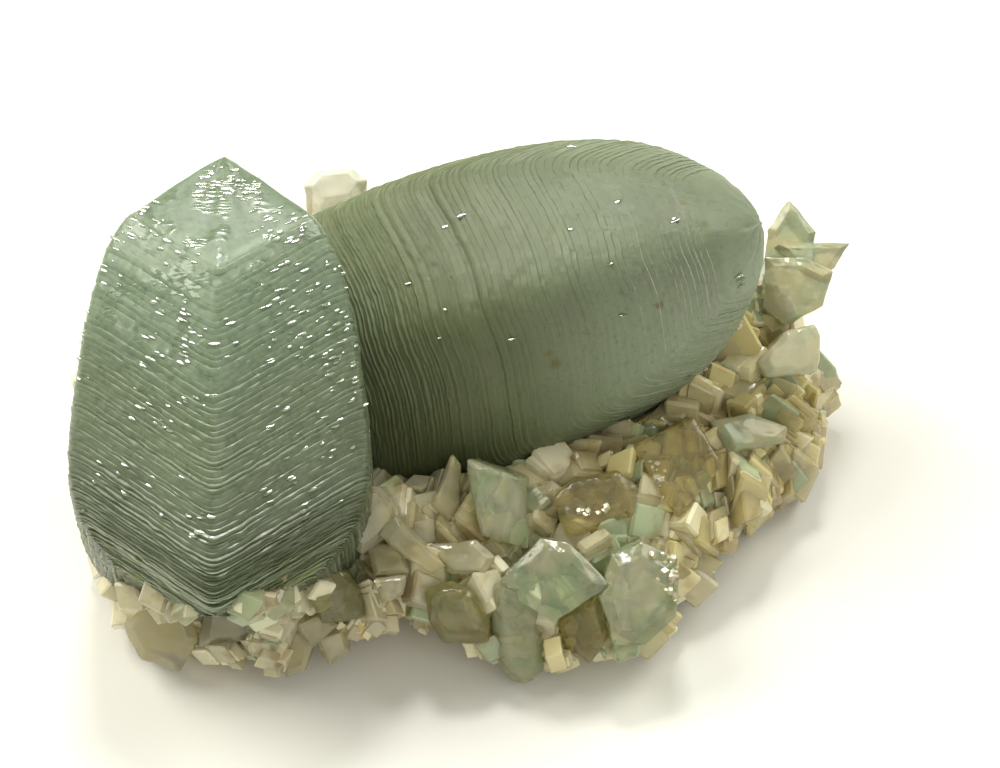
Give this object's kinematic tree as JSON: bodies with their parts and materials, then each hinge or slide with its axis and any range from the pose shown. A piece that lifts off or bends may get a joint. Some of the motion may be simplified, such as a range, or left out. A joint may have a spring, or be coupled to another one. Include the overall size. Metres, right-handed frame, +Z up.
{
  "type": "mineral specimen",
  "caption": "Calcite specimen: celadon green barrel-shaped crystals built up in fine ledges, lying on a tan druse of small clear, milky and honey rhombs.",
  "frame": {"origin": "on the table, under the middle of the specimen's bounding box", "axes": "+Z up, +X along the specimen's length from the steep crystal to the lying one, +Y from the front druse to the back"},
  "size_m": [0.0612, 0.0444, 0.0312],
  "materials": {
    "large_calcite": "waxy, translucent celadon green, built up in fine glinting ledges",
    "green_calcite": "clear to cloudy pale blue-green, vitreous, on flat rhomb faces",
    "honey_calcite": "see-through pale honey, vitreous, with iron-stained edges",
    "milky_calcite": "milky white to faintly pink, translucent, with clear edges",
    "matrix": "rough tan to brown druse with iron staining and dark hollows"
  },
  "bodies": {
    "root": {"left_crystal": "large_calcite", "right_crystal": "large_calcite", "front_prism": "green_calcite", "blue_rhomb": "green_calcite", "wedge_crystal": "milky_calcite", "honey_rhomb": "honey_calcite", "centre_rhomb": "green_calcite", "front_rhomb": "green_calcite", "amber_rhomb": "honey_calcite", "corner_rhomb": "green_calcite", "right_rhomb": "honey_calcite", "right_slab": "honey_calcite", "edge_rhomb": "honey_calcite", "blade_cluster": "honey_calcite", "foot_rhomb": "milky_calcite", "foot_block": "milky_calcite", "rim_chip": "milky_calcite", "block_cluster": "milky_calcite", "grey_rhomb": "green_calcite", "white_fan": "milky_calcite", "fan_block": "milky_calcite", "pink_crystal": "milky_calcite", "back_crystal": "milky_calcite", "side_crystal": "milky_calcite", "matrix": "matrix"}
  },
  "joints": []
}
